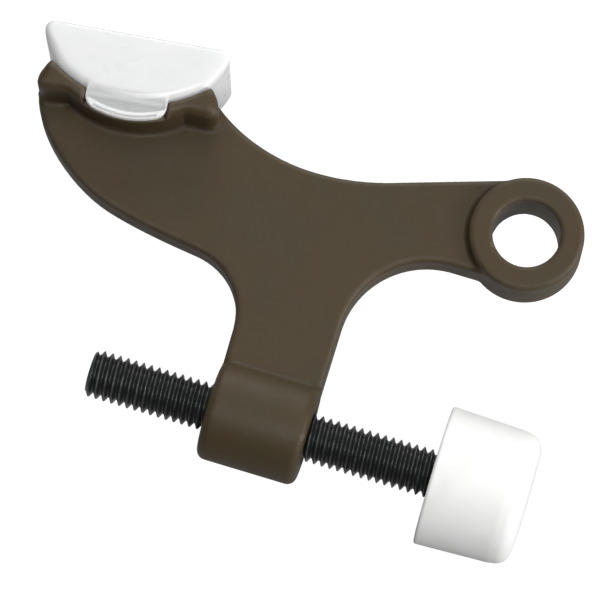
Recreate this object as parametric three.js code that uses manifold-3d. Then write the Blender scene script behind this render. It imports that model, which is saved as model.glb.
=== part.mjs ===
// Hinge-pin door stop: a die-cast arm that hangs on a door's hinge pin, with an adjustable
// bumper screw through its barrel and a soft pad clipped into the saddle at its other end.
// Millimetres. The origin is on the hinge pin's axis at mid thickness, +Z runs up the pin,
// and +X runs along the bumper screw towards the bumper.

import * as THREE from 'three';
import Module from 'manifold-3d';
import { mergeVertices } from 'three/addons/utils/BufferGeometryUtils.js';

const wasm = await Module();
wasm.setup();

// Arm casting
const WEB_THICKNESS = 5.2;
const WEB_EDGE = 0.7;
const RING_RADIUS = 7.15;
const RING_HEIGHT = 8;
const RING_EDGE = 0.8;
const PIN_BORE_RADIUS = 4.2;
const PIN_BORE_CHAMFER = 0.3;
const NECK_SLOPE = 18 * Math.PI / 180;
const NECK_BACK_END = -17;
const NECK_UNDERSIDE = -6.2;
const NECK_UNDERSIDE_END = -3.2;
const CROTCH_RADIUS = 11;
const LEG_LEFT = -30.9;
const LEG_RIGHT = -18.5;

// Curves of the arm's outline, each as two handles and an end point
const BACK_FALL = [[-20.4, 0.8], [-24, 0.2], [-27.3, 0.2]];
const BACK_RISE = [[-32, 0.2], [-37.2, 1.7], [-41, 4.7]];
const UNDER_SADDLE_START = [-42, 3.2];
const UNDER_SADDLE = [[-46.5, -1.4], [-57, -2.4], [-61.6, 0.6]];
const HEEL = [-62.9, -0.2];
const HEEL_TO_BELLY = [[-62, -4.4], [-56, -9.6], [-50.5, -11.2]];
const BELLY = [[-46.6, -12.3], [-42.4, -12.9], [-38.5, -13.4]];
const BELLY_TO_LEG = [[-34.6, -13.9], [-31.4, -16.8], [-31.1, -21.5]];

// Barrel that the screw runs through
const SCREW_AXIS_Y = -31.5;
const BARREL_LEFT = -31.1;
const BARREL_RIGHT = -18.45;
const BARREL_RADIUS = 6.3;
const BARREL_EDGE = 1.1;
const BARREL_BORE_RADIUS = 3.15;
const BARREL_BORE_OVERRUN = 1;

// Saddle plate across the arm's pad end, in its own frame: x along the chord, y off the plate
const SADDLE_X = -51.55;
const SADDLE_Y = 0.17;
const SADDLE_TURN = 6.5 * Math.PI / 180;
const SADDLE_HALF_DEPTH = 8.4;
const SADDLE_TOP_RADIUS = 15.5;
const SADDLE_TOP_LOW = 0.4;
const SADDLE_UNDER_RADIUS = 13.3;
const SADDLE_UNDER_LOW = -1.8;
const SADDLE_EDGE = 0.5;
const HORN_X = 9.65;
const HORN_CROWN = [[10.6, 3.5], [11.3, 2.5], [11.3, 1.4]];
const HORN_FOOT = [[11.3, 0.6], [10.6, 0.2], [9.6, 0.3]];
const UNDERSIDE_END_X = 7.3;
const NOTCH_HALF_WIDTH = 5.15;
const NOTCH_DEPTH = 1.2;
const NOTCH_CUT_HEIGHT = 10;

// Soft pad
const CLEARANCE = 0.3;
const PAD_HALF_DEPTH = 8.5;
const PAD_TOP = 9;
const PAD_FOOT_X = 9.35;
const PAD_FLANK = [[10.5, 5.2], [11.2, 6.3], [11.5, 7.5]];
const PAD_SHOULDER = [[11.7, 8.3], [11.2, PAD_TOP], [10.3, PAD_TOP]];
const PAD_EDGE = 0.9;
const TAB_THICKNESS = 0.9;
const TAB_LOW = -1.7;
const TAB_CORNER = -0.6;
const TAB_ROOT = 2.4;

// Bumper screw and rubber bumper
const THREAD_RADIUS = 2.98;
const THREAD_ROOT_RADIUS = 2.4;
const THREAD_PITCH = 1;
const THREAD_START = -46.4;
const THREAD_END = -1.2;
const THREAD_CHAMFER = 0.5;
const THREAD_OVERRUN = 3;
const THREAD_TRIM_MARGIN = 0.1;
const CREST_SHARE = 0.22;
const ROOT_SHARE = 0.61;
const SHANK_RADIUS = 2.7;
const SHANK_TIP_RADIUS = 2;
const SHANK_TIP_LENGTH = 0.5;
const HEAD_RADIUS = 6;
const HEAD_START = 1.2;
const HEAD_END = 4.4;
const HEAD_CROWN_HEIGHT = 0.8;
const HEAD_CROWN_WIDTH = 1;
const BUMPER_BACK = -2.5;
const BUMPER_FRONT = 9.6;
const BUMPER_BACK_RADIUS = 8.75;
const BUMPER_FRONT_RADIUS = 8.35;
const BUMPER_BACK_EDGE = 0.4;
const BUMPER_FRONT_EDGE = 2.1;
const BUMPER_EDGE_ANGLES = [30, 60, 90];

// Facets
const ROUND_SEGMENTS = 40;
const BORE_SEGMENTS = 32;
const CURVE_SEGMENTS = 8;
const EDGE_SEGMENTS = 2;
const THREAD_SEGMENTS = 12;
const MERGE_DISTANCE = 1e-4;

const castPaint = new THREE.MeshStandardMaterial({ color: 0x4f4638, roughness: 0.5, metalness: 0.25 });
const blackSteel = new THREE.MeshStandardMaterial({ color: 0x1c2021, roughness: 0.42, metalness: 0.9 });
const whiteRubber = new THREE.MeshStandardMaterial({ color: 0xf0efed, roughness: 0.55, metalness: 0 });
const clearVinyl = new THREE.MeshStandardMaterial({ color: 0xe6e6e6, roughness: 0.3, metalness: 0 });

function toSolid(geometry) {
  const bare = geometry.clone();
  bare.deleteAttribute('normal');
  bare.deleteAttribute('uv');
  const merged = mergeVertices(bare, MERGE_DISTANCE);
  const vertProperties = new Float32Array(merged.attributes.position.array);
  const triVerts = new Uint32Array(merged.index.array);
  return new wasm.Manifold(new wasm.Mesh({ numProp: 3, vertProperties, triVerts }));
}

function toGeometry(solid) {
  const mesh = solid.getMesh();
  const geometry = new THREE.BufferGeometry();
  geometry.setAttribute('position', new THREE.BufferAttribute(new Float32Array(mesh.vertProperties), 3));
  geometry.setIndex(new THREE.BufferAttribute(new Uint32Array(mesh.triVerts), 1));
  geometry.computeVertexNormals();
  return geometry;
}

// A shape extruded to a thickness centred on z = 0, with every edge rounded by an inward bevel.
function roundedExtrusion(shape, thickness, edge) {
  const geometry = new THREE.ExtrudeGeometry(shape, {
    depth: thickness - 2 * edge,
    curveSegments: CURVE_SEGMENTS,
    bevelThickness: edge,
    bevelSize: edge,
    bevelOffset: -edge,
    bevelSegments: EDGE_SEGMENTS,
  });
  geometry.translate(0, 0, edge - thickness / 2);
  return geometry;
}

// A lathed solid about the X axis from [x, radius] pairs.
function turnedAboutX(profile, segments) {
  const points = profile.map(([x, radius]) => new THREE.Vector2(radius, x));
  const geometry = new THREE.LatheGeometry(points, segments);
  geometry.rotateZ(-Math.PI / 2);
  return geometry;
}

function mirrored([x, y]) {
  return [-x, y];
}

// The handles and end of a curve run backwards on the other side of x = 0, to the given start.
function reversedCurve([first, second], start) {
  return [second, first, start].flatMap(mirrored);
}

function saddleTopAt(x, radius) {
  const centre = SADDLE_TOP_LOW + SADDLE_TOP_RADIUS;
  return centre - Math.sqrt(radius * radius - x * x);
}

function saddleUnderAt(x) {
  const centre = SADDLE_UNDER_LOW + SADDLE_UNDER_RADIUS;
  return centre - Math.sqrt(SADDLE_UNDER_RADIUS * SADDLE_UNDER_RADIUS - x * x);
}

function onSaddle(geometry) {
  geometry.rotateZ(SADDLE_TURN);
  geometry.translate(SADDLE_X, SADDLE_Y, 0);
  return geometry;
}

// Flat web of the arm: neck, pad arm and leg in one outline.
function webShape() {
  const tangent = Math.PI / 2 + NECK_SLOPE;
  const tangentX = RING_RADIUS * Math.cos(tangent);
  const tangentY = RING_RADIUS * Math.sin(tangent);
  const backEndY = tangentY + (NECK_BACK_END - tangentX) * Math.tan(NECK_SLOPE);
  const crotchX = LEG_RIGHT + CROTCH_RADIUS;
  const crotchY = NECK_UNDERSIDE - CROTCH_RADIUS;
  const shape = new THREE.Shape();
  shape.moveTo(0, 0);
  shape.lineTo(tangentX, tangentY);
  shape.lineTo(NECK_BACK_END, backEndY);
  shape.bezierCurveTo(...BACK_FALL.flat());
  shape.bezierCurveTo(...BACK_RISE.flat());
  shape.lineTo(...UNDER_SADDLE_START);
  shape.bezierCurveTo(...UNDER_SADDLE.flat());
  shape.lineTo(...HEEL);
  shape.bezierCurveTo(...HEEL_TO_BELLY.flat());
  shape.bezierCurveTo(...BELLY.flat());
  shape.bezierCurveTo(...BELLY_TO_LEG.flat());
  shape.lineTo(LEG_LEFT, SCREW_AXIS_Y);
  shape.lineTo(LEG_RIGHT, SCREW_AXIS_Y);
  shape.absarc(crotchX, crotchY, CROTCH_RADIUS, Math.PI, Math.PI / 2, true);
  shape.lineTo(NECK_UNDERSIDE_END, NECK_UNDERSIDE);
  return shape;
}

// Section of the saddle plate: a shallow dish with a rounded horn at each end.
function saddleShape() {
  const topCentre = SADDLE_TOP_LOW + SADDLE_TOP_RADIUS;
  const underCentre = SADDLE_UNDER_LOW + SADDLE_UNDER_RADIUS;
  const hornY = saddleTopAt(HORN_X, SADDLE_TOP_RADIUS);
  const topHalfAngle = Math.asin(HORN_X / SADDLE_TOP_RADIUS);
  const underHalfAngle = Math.asin(UNDERSIDE_END_X / SADDLE_UNDER_RADIUS);
  const down = -Math.PI / 2;
  const shape = new THREE.Shape();
  shape.moveTo(-HORN_X, hornY);
  shape.absarc(0, topCentre, SADDLE_TOP_RADIUS, down - topHalfAngle, down + topHalfAngle, false);
  shape.bezierCurveTo(...HORN_CROWN.flat());
  shape.bezierCurveTo(...HORN_FOOT.flat());
  shape.lineTo(UNDERSIDE_END_X, saddleUnderAt(UNDERSIDE_END_X));
  shape.absarc(0, underCentre, SADDLE_UNDER_RADIUS, down + underHalfAngle, down - underHalfAngle, true);
  shape.lineTo(...mirrored(HORN_FOOT[2]));
  shape.bezierCurveTo(...reversedCurve(HORN_FOOT, HORN_CROWN[2]));
  shape.bezierCurveTo(...reversedCurve(HORN_CROWN, [HORN_X, hornY]));
  return shape;
}

function saddleSolid() {
  const plate = toSolid(onSaddle(roundedExtrusion(saddleShape(), 2 * SADDLE_HALF_DEPTH, SADDLE_EDGE)));
  const cutDepth = 2 * NOTCH_DEPTH;
  const cutters = [-1, 1].map((side) => {
    const cutter = new THREE.BoxGeometry(2 * NOTCH_HALF_WIDTH, NOTCH_CUT_HEIGHT, cutDepth);
    cutter.translate(0, 0, side * SADDLE_HALF_DEPTH);
    return toSolid(onSaddle(cutter));
  });
  return plate.subtract(cutters[0]).subtract(cutters[1]);
}

function ringSolid() {
  const half = RING_HEIGHT / 2;
  const lip = RING_EDGE * (1 - Math.SQRT1_2);
  const profile = [
    [-half, 0],
    [-half, RING_RADIUS - RING_EDGE],
    [-half + lip, RING_RADIUS - lip],
    [-half + RING_EDGE, RING_RADIUS],
    [half - RING_EDGE, RING_RADIUS],
    [half - lip, RING_RADIUS - lip],
    [half, RING_RADIUS - RING_EDGE],
    [half, 0],
  ];
  const ring = turnedAboutX(profile, ROUND_SEGMENTS);
  ring.rotateY(-Math.PI / 2);
  return toSolid(ring);
}

function pinBoreSolid() {
  const half = RING_HEIGHT / 2;
  const wide = PIN_BORE_RADIUS + 2 * PIN_BORE_CHAMFER;
  const profile = [
    [-half - PIN_BORE_CHAMFER, 0],
    [-half - PIN_BORE_CHAMFER, wide],
    [-half + PIN_BORE_CHAMFER, PIN_BORE_RADIUS],
    [half - PIN_BORE_CHAMFER, PIN_BORE_RADIUS],
    [half + PIN_BORE_CHAMFER, wide],
    [half + PIN_BORE_CHAMFER, 0],
  ];
  const bore = turnedAboutX(profile, BORE_SEGMENTS);
  bore.rotateY(-Math.PI / 2);
  return toSolid(bore);
}

function barrelSolid() {
  const lip = BARREL_EDGE * (1 - Math.SQRT1_2);
  const profile = [
    [BARREL_LEFT, 0],
    [BARREL_LEFT, BARREL_RADIUS - BARREL_EDGE],
    [BARREL_LEFT + lip, BARREL_RADIUS - lip],
    [BARREL_LEFT + BARREL_EDGE, BARREL_RADIUS],
    [BARREL_RIGHT - BARREL_EDGE, BARREL_RADIUS],
    [BARREL_RIGHT - lip, BARREL_RADIUS - lip],
    [BARREL_RIGHT, BARREL_RADIUS - BARREL_EDGE],
    [BARREL_RIGHT, 0],
  ];
  const barrel = turnedAboutX(profile, ROUND_SEGMENTS);
  barrel.translate(0, SCREW_AXIS_Y, 0);
  return toSolid(barrel);
}

function screwBoreSolid() {
  const profile = [
    [BARREL_LEFT - BARREL_BORE_OVERRUN, 0],
    [BARREL_LEFT - BARREL_BORE_OVERRUN, BARREL_BORE_RADIUS],
    [BARREL_RIGHT + BARREL_BORE_OVERRUN, BARREL_BORE_RADIUS],
    [BARREL_RIGHT + BARREL_BORE_OVERRUN, 0],
  ];
  const bore = turnedAboutX(profile, BORE_SEGMENTS);
  bore.translate(0, SCREW_AXIS_Y, 0);
  return toSolid(bore);
}

function armCasting() {
  const web = toSolid(roundedExtrusion(webShape(), WEB_THICKNESS, WEB_EDGE));
  const casting = web.add(ringSolid()).add(barrelSolid()).add(saddleSolid());
  const bored = casting.subtract(pinBoreSolid()).subtract(screwBoreSolid());
  const mesh = new THREE.Mesh(toGeometry(bored), castPaint);
  mesh.name = 'arm_casting';
  return mesh;
}

// Section of the pad: flat striking face, rounded shoulders, underside dished to sit in the saddle.
function padShape() {
  const dish = SADDLE_TOP_RADIUS - CLEARANCE;
  const centre = SADDLE_TOP_LOW + SADDLE_TOP_RADIUS;
  const footY = saddleTopAt(PAD_FOOT_X, dish);
  const halfAngle = Math.asin(PAD_FOOT_X / dish);
  const down = -Math.PI / 2;
  const shape = new THREE.Shape();
  shape.moveTo(-PAD_FOOT_X, footY);
  shape.absarc(0, centre, dish, down - halfAngle, down + halfAngle, false);
  shape.bezierCurveTo(...PAD_FLANK.flat());
  shape.bezierCurveTo(...PAD_SHOULDER.flat());
  shape.lineTo(...mirrored(PAD_SHOULDER[2]));
  shape.bezierCurveTo(...reversedCurve(PAD_SHOULDER, PAD_FLANK[2]));
  shape.bezierCurveTo(...reversedCurve(PAD_FLANK, [PAD_FOOT_X, footY]));
  return shape;
}

// Outline of the two tabs that hang from the pad through the saddle's notches.
function tabShape() {
  const half = NOTCH_HALF_WIDTH - CLEARANCE;
  const shape = new THREE.Shape();
  shape.moveTo(-half, TAB_ROOT);
  shape.lineTo(-half, TAB_CORNER);
  shape.quadraticCurveTo(0, 2 * TAB_LOW - TAB_CORNER, half, TAB_CORNER);
  shape.lineTo(half, TAB_ROOT);
  return shape;
}

function softPad() {
  const pad = toSolid(onSaddle(roundedExtrusion(padShape(), 2 * PAD_HALF_DEPTH, PAD_EDGE)));
  const tabs = [-1, 1].map((side) => {
    const tab = new THREE.ExtrudeGeometry(tabShape(), {
      depth: TAB_THICKNESS,
      curveSegments: CURVE_SEGMENTS,
      bevelEnabled: false,
    });
    const middle = side * (PAD_HALF_DEPTH - TAB_THICKNESS / 2);
    tab.translate(0, 0, middle - TAB_THICKNESS / 2);
    return toSolid(onSaddle(tab));
  });
  const mesh = new THREE.Mesh(toGeometry(pad.add(tabs[0]).add(tabs[1])), clearVinyl);
  mesh.name = 'soft_pad';
  return mesh;
}

// Right-hand thread about the X axis: three points of the ridge (crest start, crest end, root)
// repeat every pitch along the axis, and each row climbs one pitch in a turn, so that the end
// of a row's turn is the start of the row one pitch on. A fan to the axis closes each end.
function threadSolid(start, length) {
  const ridge = [[0, THREAD_RADIUS], [CREST_SHARE, THREAD_RADIUS], [ROOT_SHARE, THREAD_ROOT_RADIUS]];
  const perPitch = ridge.length;
  const turns = Math.ceil(length / THREAD_PITCH);
  const end = start + turns * THREAD_PITCH;
  const rows = turns * perPitch;
  const positions = [];
  for (let row = 0; row <= rows; row += 1) {
    const [share, radius] = ridge[row % perPitch];
    const base = start + THREAD_PITCH * (Math.floor(row / perPitch) + share);
    for (let step = 0; step < THREAD_SEGMENTS; step += 1) {
      const angle = 2 * Math.PI * step / THREAD_SEGMENTS;
      const x = base + THREAD_PITCH * step / THREAD_SEGMENTS;
      positions.push(x, radius * Math.cos(angle), radius * Math.sin(angle));
    }
  }
  const startHub = positions.length / 3;
  positions.push(start - THREAD_PITCH, 0, 0);
  const endHub = startHub + 1;
  positions.push(end + THREAD_PITCH, 0, 0);
  const at = (row, step) => (step === THREAD_SEGMENTS
    ? (row + perPitch) * THREAD_SEGMENTS
    : row * THREAD_SEGMENTS + step);
  const triangles = [];
  const lastRow = rows - perPitch;
  for (let step = 0; step < THREAD_SEGMENTS; step += 1) {
    for (let row = 0; row < lastRow; row += 1) {
      triangles.push(at(row, step), at(row, step + 1), at(row + 1, step + 1));
      triangles.push(at(row, step), at(row + 1, step + 1), at(row + 1, step));
    }
    triangles.push(startHub, at(0, step + 1), at(0, step));
    triangles.push(endHub, at(lastRow, step), at(lastRow, step + 1));
  }
  for (let row = 0; row < perPitch; row += 1) {
    triangles.push(startHub, at(row, 0), at(row + 1, 0));
    triangles.push(endHub, at(lastRow + row + 1, 0), at(lastRow + row, 0));
  }
  const geometry = new THREE.BufferGeometry();
  geometry.setAttribute('position', new THREE.Float32BufferAttribute(positions, 3));
  geometry.setIndex(triangles);
  return toSolid(geometry);
}

function bumperScrew() {
  const overlong = THREAD_END - THREAD_START + 2 * THREAD_OVERRUN;
  const long = threadSolid(THREAD_START - THREAD_OVERRUN, overlong);
  const trim = toSolid(turnedAboutX([
    [THREAD_START, 0],
    [THREAD_START, THREAD_RADIUS - THREAD_CHAMFER],
    [THREAD_START + THREAD_CHAMFER, THREAD_RADIUS + THREAD_TRIM_MARGIN],
    [THREAD_END, THREAD_RADIUS + THREAD_TRIM_MARGIN],
    [THREAD_END, 0],
  ], BORE_SEGMENTS));
  const head = toSolid(turnedAboutX([
    [THREAD_END - SHANK_TIP_LENGTH, 0],
    [THREAD_END - SHANK_TIP_LENGTH, SHANK_TIP_RADIUS],
    [THREAD_END, SHANK_RADIUS],
    [HEAD_START, SHANK_RADIUS],
    [HEAD_START, HEAD_RADIUS],
    [HEAD_END - HEAD_CROWN_HEIGHT, HEAD_RADIUS],
    [HEAD_END, HEAD_RADIUS - HEAD_CROWN_WIDTH],
    [HEAD_END, 0],
  ], BORE_SEGMENTS));
  const mesh = new THREE.Mesh(toGeometry(long.intersect(trim).add(head)), blackSteel);
  mesh.name = 'bumper_screw';
  mesh.position.y = SCREW_AXIS_Y;
  return mesh;
}

// Rubber bumper: a thick cup moulded with an undercut cavity that snaps over the screw's head.
function rubberBumper() {
  const throat = THREAD_RADIUS + CLEARANCE;
  const cavity = HEAD_RADIUS + CLEARANCE;
  const profile = [
    [HEAD_END + CLEARANCE, 0],
    [HEAD_END + CLEARANCE, cavity],
    [HEAD_START - CLEARANCE, cavity],
    [HEAD_START - CLEARANCE, throat],
    [BUMPER_BACK, throat],
    [BUMPER_BACK, BUMPER_BACK_RADIUS - BUMPER_BACK_EDGE],
    [BUMPER_BACK + BUMPER_BACK_EDGE, BUMPER_BACK_RADIUS],
    [BUMPER_FRONT - BUMPER_FRONT_EDGE, BUMPER_FRONT_RADIUS],
  ];
  for (const angle of BUMPER_EDGE_ANGLES) {
    const turn = angle * Math.PI / 180;
    profile.push([
      BUMPER_FRONT - BUMPER_FRONT_EDGE * (1 - Math.sin(turn)),
      BUMPER_FRONT_RADIUS - BUMPER_FRONT_EDGE * (1 - Math.cos(turn)),
    ]);
  }
  profile.push([BUMPER_FRONT, 0]);
  const mesh = new THREE.Mesh(turnedAboutX(profile, ROUND_SEGMENTS), whiteRubber);
  mesh.name = 'rubber_bumper';
  mesh.position.y = SCREW_AXIS_Y;
  return mesh;
}

const adjuster = new THREE.Group();
adjuster.add(bumperScrew(), rubberBumper());

const doorStop = new THREE.Group();
doorStop.add(armCasting(), softPad(), adjuster);

export default doorStop;
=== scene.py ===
"""Hinge-pin door stop, dressed as it comes out of the packet.

Four pieces: a painted zinc casting, a black steel screw, a white rubber bumper that hides the
screw's head, and a milky vinyl pad clipped into the casting's saddle. All sizes are millimetres
until a mesh is written. The origin is on the hinge pin's axis at mid thickness, +Z runs up the
pin and +X runs along the screw towards the bumper.
"""

import logging
import math
from dataclasses import dataclass, field
from enum import Enum
from typing import Callable, Sequence

import bpy
import numpy as np
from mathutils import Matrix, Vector


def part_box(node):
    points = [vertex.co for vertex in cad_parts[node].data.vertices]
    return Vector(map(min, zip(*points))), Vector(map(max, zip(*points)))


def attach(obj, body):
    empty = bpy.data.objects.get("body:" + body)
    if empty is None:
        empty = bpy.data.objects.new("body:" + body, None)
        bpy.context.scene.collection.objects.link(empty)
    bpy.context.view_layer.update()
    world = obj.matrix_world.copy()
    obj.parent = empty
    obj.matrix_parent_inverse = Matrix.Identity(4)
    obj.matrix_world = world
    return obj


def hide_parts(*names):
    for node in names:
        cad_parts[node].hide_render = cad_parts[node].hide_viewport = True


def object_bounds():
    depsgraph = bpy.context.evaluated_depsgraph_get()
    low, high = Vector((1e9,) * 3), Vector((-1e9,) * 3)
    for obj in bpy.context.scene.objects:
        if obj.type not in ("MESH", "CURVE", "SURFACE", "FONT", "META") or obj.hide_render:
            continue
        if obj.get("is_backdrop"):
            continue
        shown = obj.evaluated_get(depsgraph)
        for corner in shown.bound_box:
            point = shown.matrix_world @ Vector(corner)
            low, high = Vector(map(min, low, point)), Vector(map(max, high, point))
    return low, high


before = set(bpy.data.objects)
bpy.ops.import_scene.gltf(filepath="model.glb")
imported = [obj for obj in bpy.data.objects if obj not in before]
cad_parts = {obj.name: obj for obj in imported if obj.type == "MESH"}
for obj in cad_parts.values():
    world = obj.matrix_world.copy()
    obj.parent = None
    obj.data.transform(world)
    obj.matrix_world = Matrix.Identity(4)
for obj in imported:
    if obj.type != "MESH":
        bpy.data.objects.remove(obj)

Array = np.ndarray
Pair = tuple[float, float]
Triple = tuple[float, float, float]
Field = Callable[[Array, Array, Array], Array]
Socket = bpy.types.NodeSocket

MM = 0.001
TURN = 2 * math.pi
CURVE_STEPS = 14  # points of a cubic, and half of an arc's
POLE_RADIUS = 0.05  # ring next to a pole
SCREW_AXIS_Y = -31.5  # the screw runs along X at this y, at mid thickness
TINY = 1e-12  # keeps a division defined
PROBE = 0.01  # half step of a central difference
LEAST_STEEPNESS = 0.25  # square of the least gradient that a Newton step divides by
MOST_TRAVEL = 0.1  # bound of a Newton step's value
NOISE_BAND = (0.3, 0.7)  # where most of a noise's values lie
WHITE = (1, 1, 1, 1)

log = logging.getLogger("door_stop")


class Body(Enum):
    """Bodies of the frame that a piece can ride on."""

    ARM = "arm"
    BUMPER = "bumper"
    SCREW = "screw"


class Slot(Enum):
    """Material slots of the record."""

    CAST_PAINT = "cast_paint"
    BLACK_STEEL = "black_steel"
    WHITE_RUBBER = "white_rubber"
    CLEAR_VINYL = "clear_vinyl"


# ---------------------------------------------------------------- outlines and fields


def bezier_points(start: Sequence[float], handles: Sequence[Pair]) -> Array:
    """Points of one cubic: the four control points weighted by the Bernstein polynomials.

    Args:
        start: the curve's first point, which isn't returned.
        handles: two handles and the end point.

    Returns:
        CURVE_STEPS points, the last one on the end point.
    """
    share = np.linspace(0, 1, CURVE_STEPS + 1)[1:, None]
    first, second, third, last = (np.asarray(point, float) for point in (start, *handles))
    rest = 1 - share
    return rest**3 * first + 3 * rest**2 * share * second + 3 * rest * share**2 * third + share**3 * last


def arc_points(centre: Pair, radius: float, start: float, end: float) -> Array:
    """Points of a circular arc: the centre plus the radius turned from one angle to another.

    Args:
        centre: centre of the circle.
        radius: its radius.
        start: first angle, in radians.
        end: last angle, in radians.

    Returns:
        Points two to a curve step, both ends among them.
    """
    angle = np.linspace(start, end, 2 * CURVE_STEPS + 1)
    return np.asarray(centre) + radius * np.column_stack((np.cos(angle), np.sin(angle)))


@dataclass
class Outline:
    """A closed outline, written stretch by stretch from its first point."""

    start: Pair
    stretches: list[Array] = field(default_factory=list)

    def __post_init__(self) -> None:
        """Puts the first point down."""
        self.stretches.append(np.array([self.start], float))

    def line(self, x: float, y: float) -> "Outline":
        """Adds a straight stretch to a point and returns the outline."""
        self.stretches.append(np.array([[x, y]], float))
        return self

    def curve(self, *handles: Pair) -> "Outline":
        """Adds a cubic through two handles to an end point and returns the outline."""
        self.stretches.append(bezier_points(self.stretches[-1][-1], handles))
        return self

    def arc(self, centre: Pair, radius: float, start: float, end: float) -> "Outline":
        """Adds an arc, joined by a straight stretch, and returns the outline."""
        self.stretches.append(arc_points(centre, radius, start, end))
        return self

    def points(self) -> Array:
        """Returns the whole outline's points in order."""
        return np.vstack(self.stretches)


def outline_distance(x: Array, y: Array, outline: Array) -> Array:
    """Signed distance to a closed outline, negative inside.

    The distance is the least of those to the outline's edges, each measured to the nearest
    point of the edge. A point is inside where a ray to the right crosses an odd number of edges.

    Args:
        x: first coordinates of the points.
        y: second coordinates, of a shape that broadcasts with x.
        outline: the outline's corners in order.

    Returns:
        The signed distances, in the shape of x and y broadcast together.
    """
    x, y = np.broadcast_arrays(x, y)
    x, y = x[..., None].astype(np.float32), y[..., None].astype(np.float32)
    corner = outline.astype(np.float32)
    edge = np.roll(corner, -1, axis=0) - corner
    length = np.maximum((edge**2).sum(axis=1), TINY)
    right, up = x - corner[:, 0], y - corner[:, 1]
    share = np.clip((right * edge[:, 0] + up * edge[:, 1]) / length, 0, 1)
    nearest = np.sqrt(((right - share * edge[:, 0]) ** 2 + (up - share * edge[:, 1]) ** 2).min(axis=-1))
    climb = np.where(edge[:, 1] == 0, TINY, edge[:, 1])
    straddles = (corner[:, 1] > y) != (corner[:, 1] + edge[:, 1] > y)
    crossings = (straddles & (right < up * edge[:, 0] / climb)).sum(axis=-1)
    return np.where(crossings % 2 == 1, -nearest, nearest)


def rounded_slab(flat: Array, depth: Array, half: float, edge: float | Array) -> Array:
    """Distance field of an outline given a thickness, with its edges rounded.

    Outline and thickness are first drawn in by the edge radius, and the field is the distance
    to that smaller slab, less the radius.

    Args:
        flat: signed distance to the outline.
        depth: distance from the slab's middle plane.
        half: half of the thickness.
        edge: edge radius.

    Returns:
        The field, negative inside.
    """
    side, cap = flat + edge, depth - half + edge
    outside = np.hypot(np.maximum(side, 0), np.maximum(cap, 0))
    return np.minimum(np.maximum(side, cap), 0) + outside - edge


def blended_union(first: Array, second: Array, reach: float | Array) -> Array:
    """The smaller of two fields, filled with a parabola where they are within reach of each other."""
    share = np.clip(0.5 + 0.5 * (second - first) / reach, 0, 1)
    return second + (first - second) * share - reach * share * (1 - share)


def blended_cut(solid: Array, cutter: Array, reach: float | Array) -> Array:
    """A solid's field less a cutter's, with the rim eased over the reach."""
    return -blended_union(-solid, cutter, reach)


def smooth_step(low: float, high: float, value: Array) -> Array:
    """0 below low, 1 above high, and the cubic 3t^2 - 2t^3 between them."""
    share = np.clip((value - low) / (high - low), 0, 1)
    return share * share * (3 - 2 * share)


def ruled(*stations: Pair) -> Array:
    """Grid lines of one axis: evenly spaced stretches between stations.

    Args:
        stations: position and, from the second on, the spacing of the stretch that ends there.

    Returns:
        The positions in rising order.
    """
    lines = [np.array([stations[0][0]])]
    for (start, _), (end, spacing) in zip(stations, stations[1:]):
        count = max(1, math.ceil((end - start) / spacing))
        lines.append(np.linspace(start, end, count + 1)[1:])
    return np.concatenate(lines)


# ---------------------------------------------------------------- surfaces


@dataclass(frozen=True)
class Surface:
    """Points, four-sided faces and three-sided faces of one closed surface."""

    points: Array
    quads: Array
    triangles: Array = field(default_factory=lambda: np.zeros((0, 3), int))

    def facing_out(self) -> "Surface":
        """The surface with its faces turned outwards.

        Its volume is a sixth of the sum, over the triangles that the faces split into, of the
        first corner dotted with the cross product of the other two. Below zero, every face is
        turned over.

        Returns:
            This surface, or the turned one.
        """
        fans = np.vstack((self.quads[:, (0, 1, 2)], self.quads[:, (0, 2, 3)], self.triangles))
        first, second, third = (self.points[fans[:, corner]] for corner in range(3))
        if (first * np.cross(second, third)).sum() > 0:
            return self
        return Surface(self.points, self.quads[:, ::-1], self.triangles[:, ::-1])

    def to_object(self, name: str) -> bpy.types.Object:
        """Writes the surface into a smooth mesh object that sits at the origin, in metres.

        Args:
            name: the object's name.

        Returns:
            The linked object.
        """
        corners = np.concatenate((self.quads.ravel(), self.triangles.ravel())).astype(np.int32)
        quad_starts = 4 * np.arange(len(self.quads))
        triangle_starts = 4 * len(self.quads) + 3 * np.arange(len(self.triangles))
        starts = np.concatenate((quad_starts, triangle_starts)).astype(np.int32)
        mesh = bpy.data.meshes.new(name)
        mesh.vertices.add(len(self.points))
        mesh.vertices.foreach_set("co", (self.points * MM).astype(np.float32).ravel())
        mesh.loops.add(len(corners))
        mesh.loops.foreach_set("vertex_index", corners)
        mesh.polygons.add(len(starts))
        mesh.polygons.foreach_set("loop_start", starts)
        mesh.polygons.foreach_set("use_smooth", np.ones(len(starts), bool))
        mesh.update(calc_edges=True)
        mesh.validate()
        piece = bpy.data.objects.new(name, mesh)
        bpy.context.scene.collection.objects.link(piece)
        return piece


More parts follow.
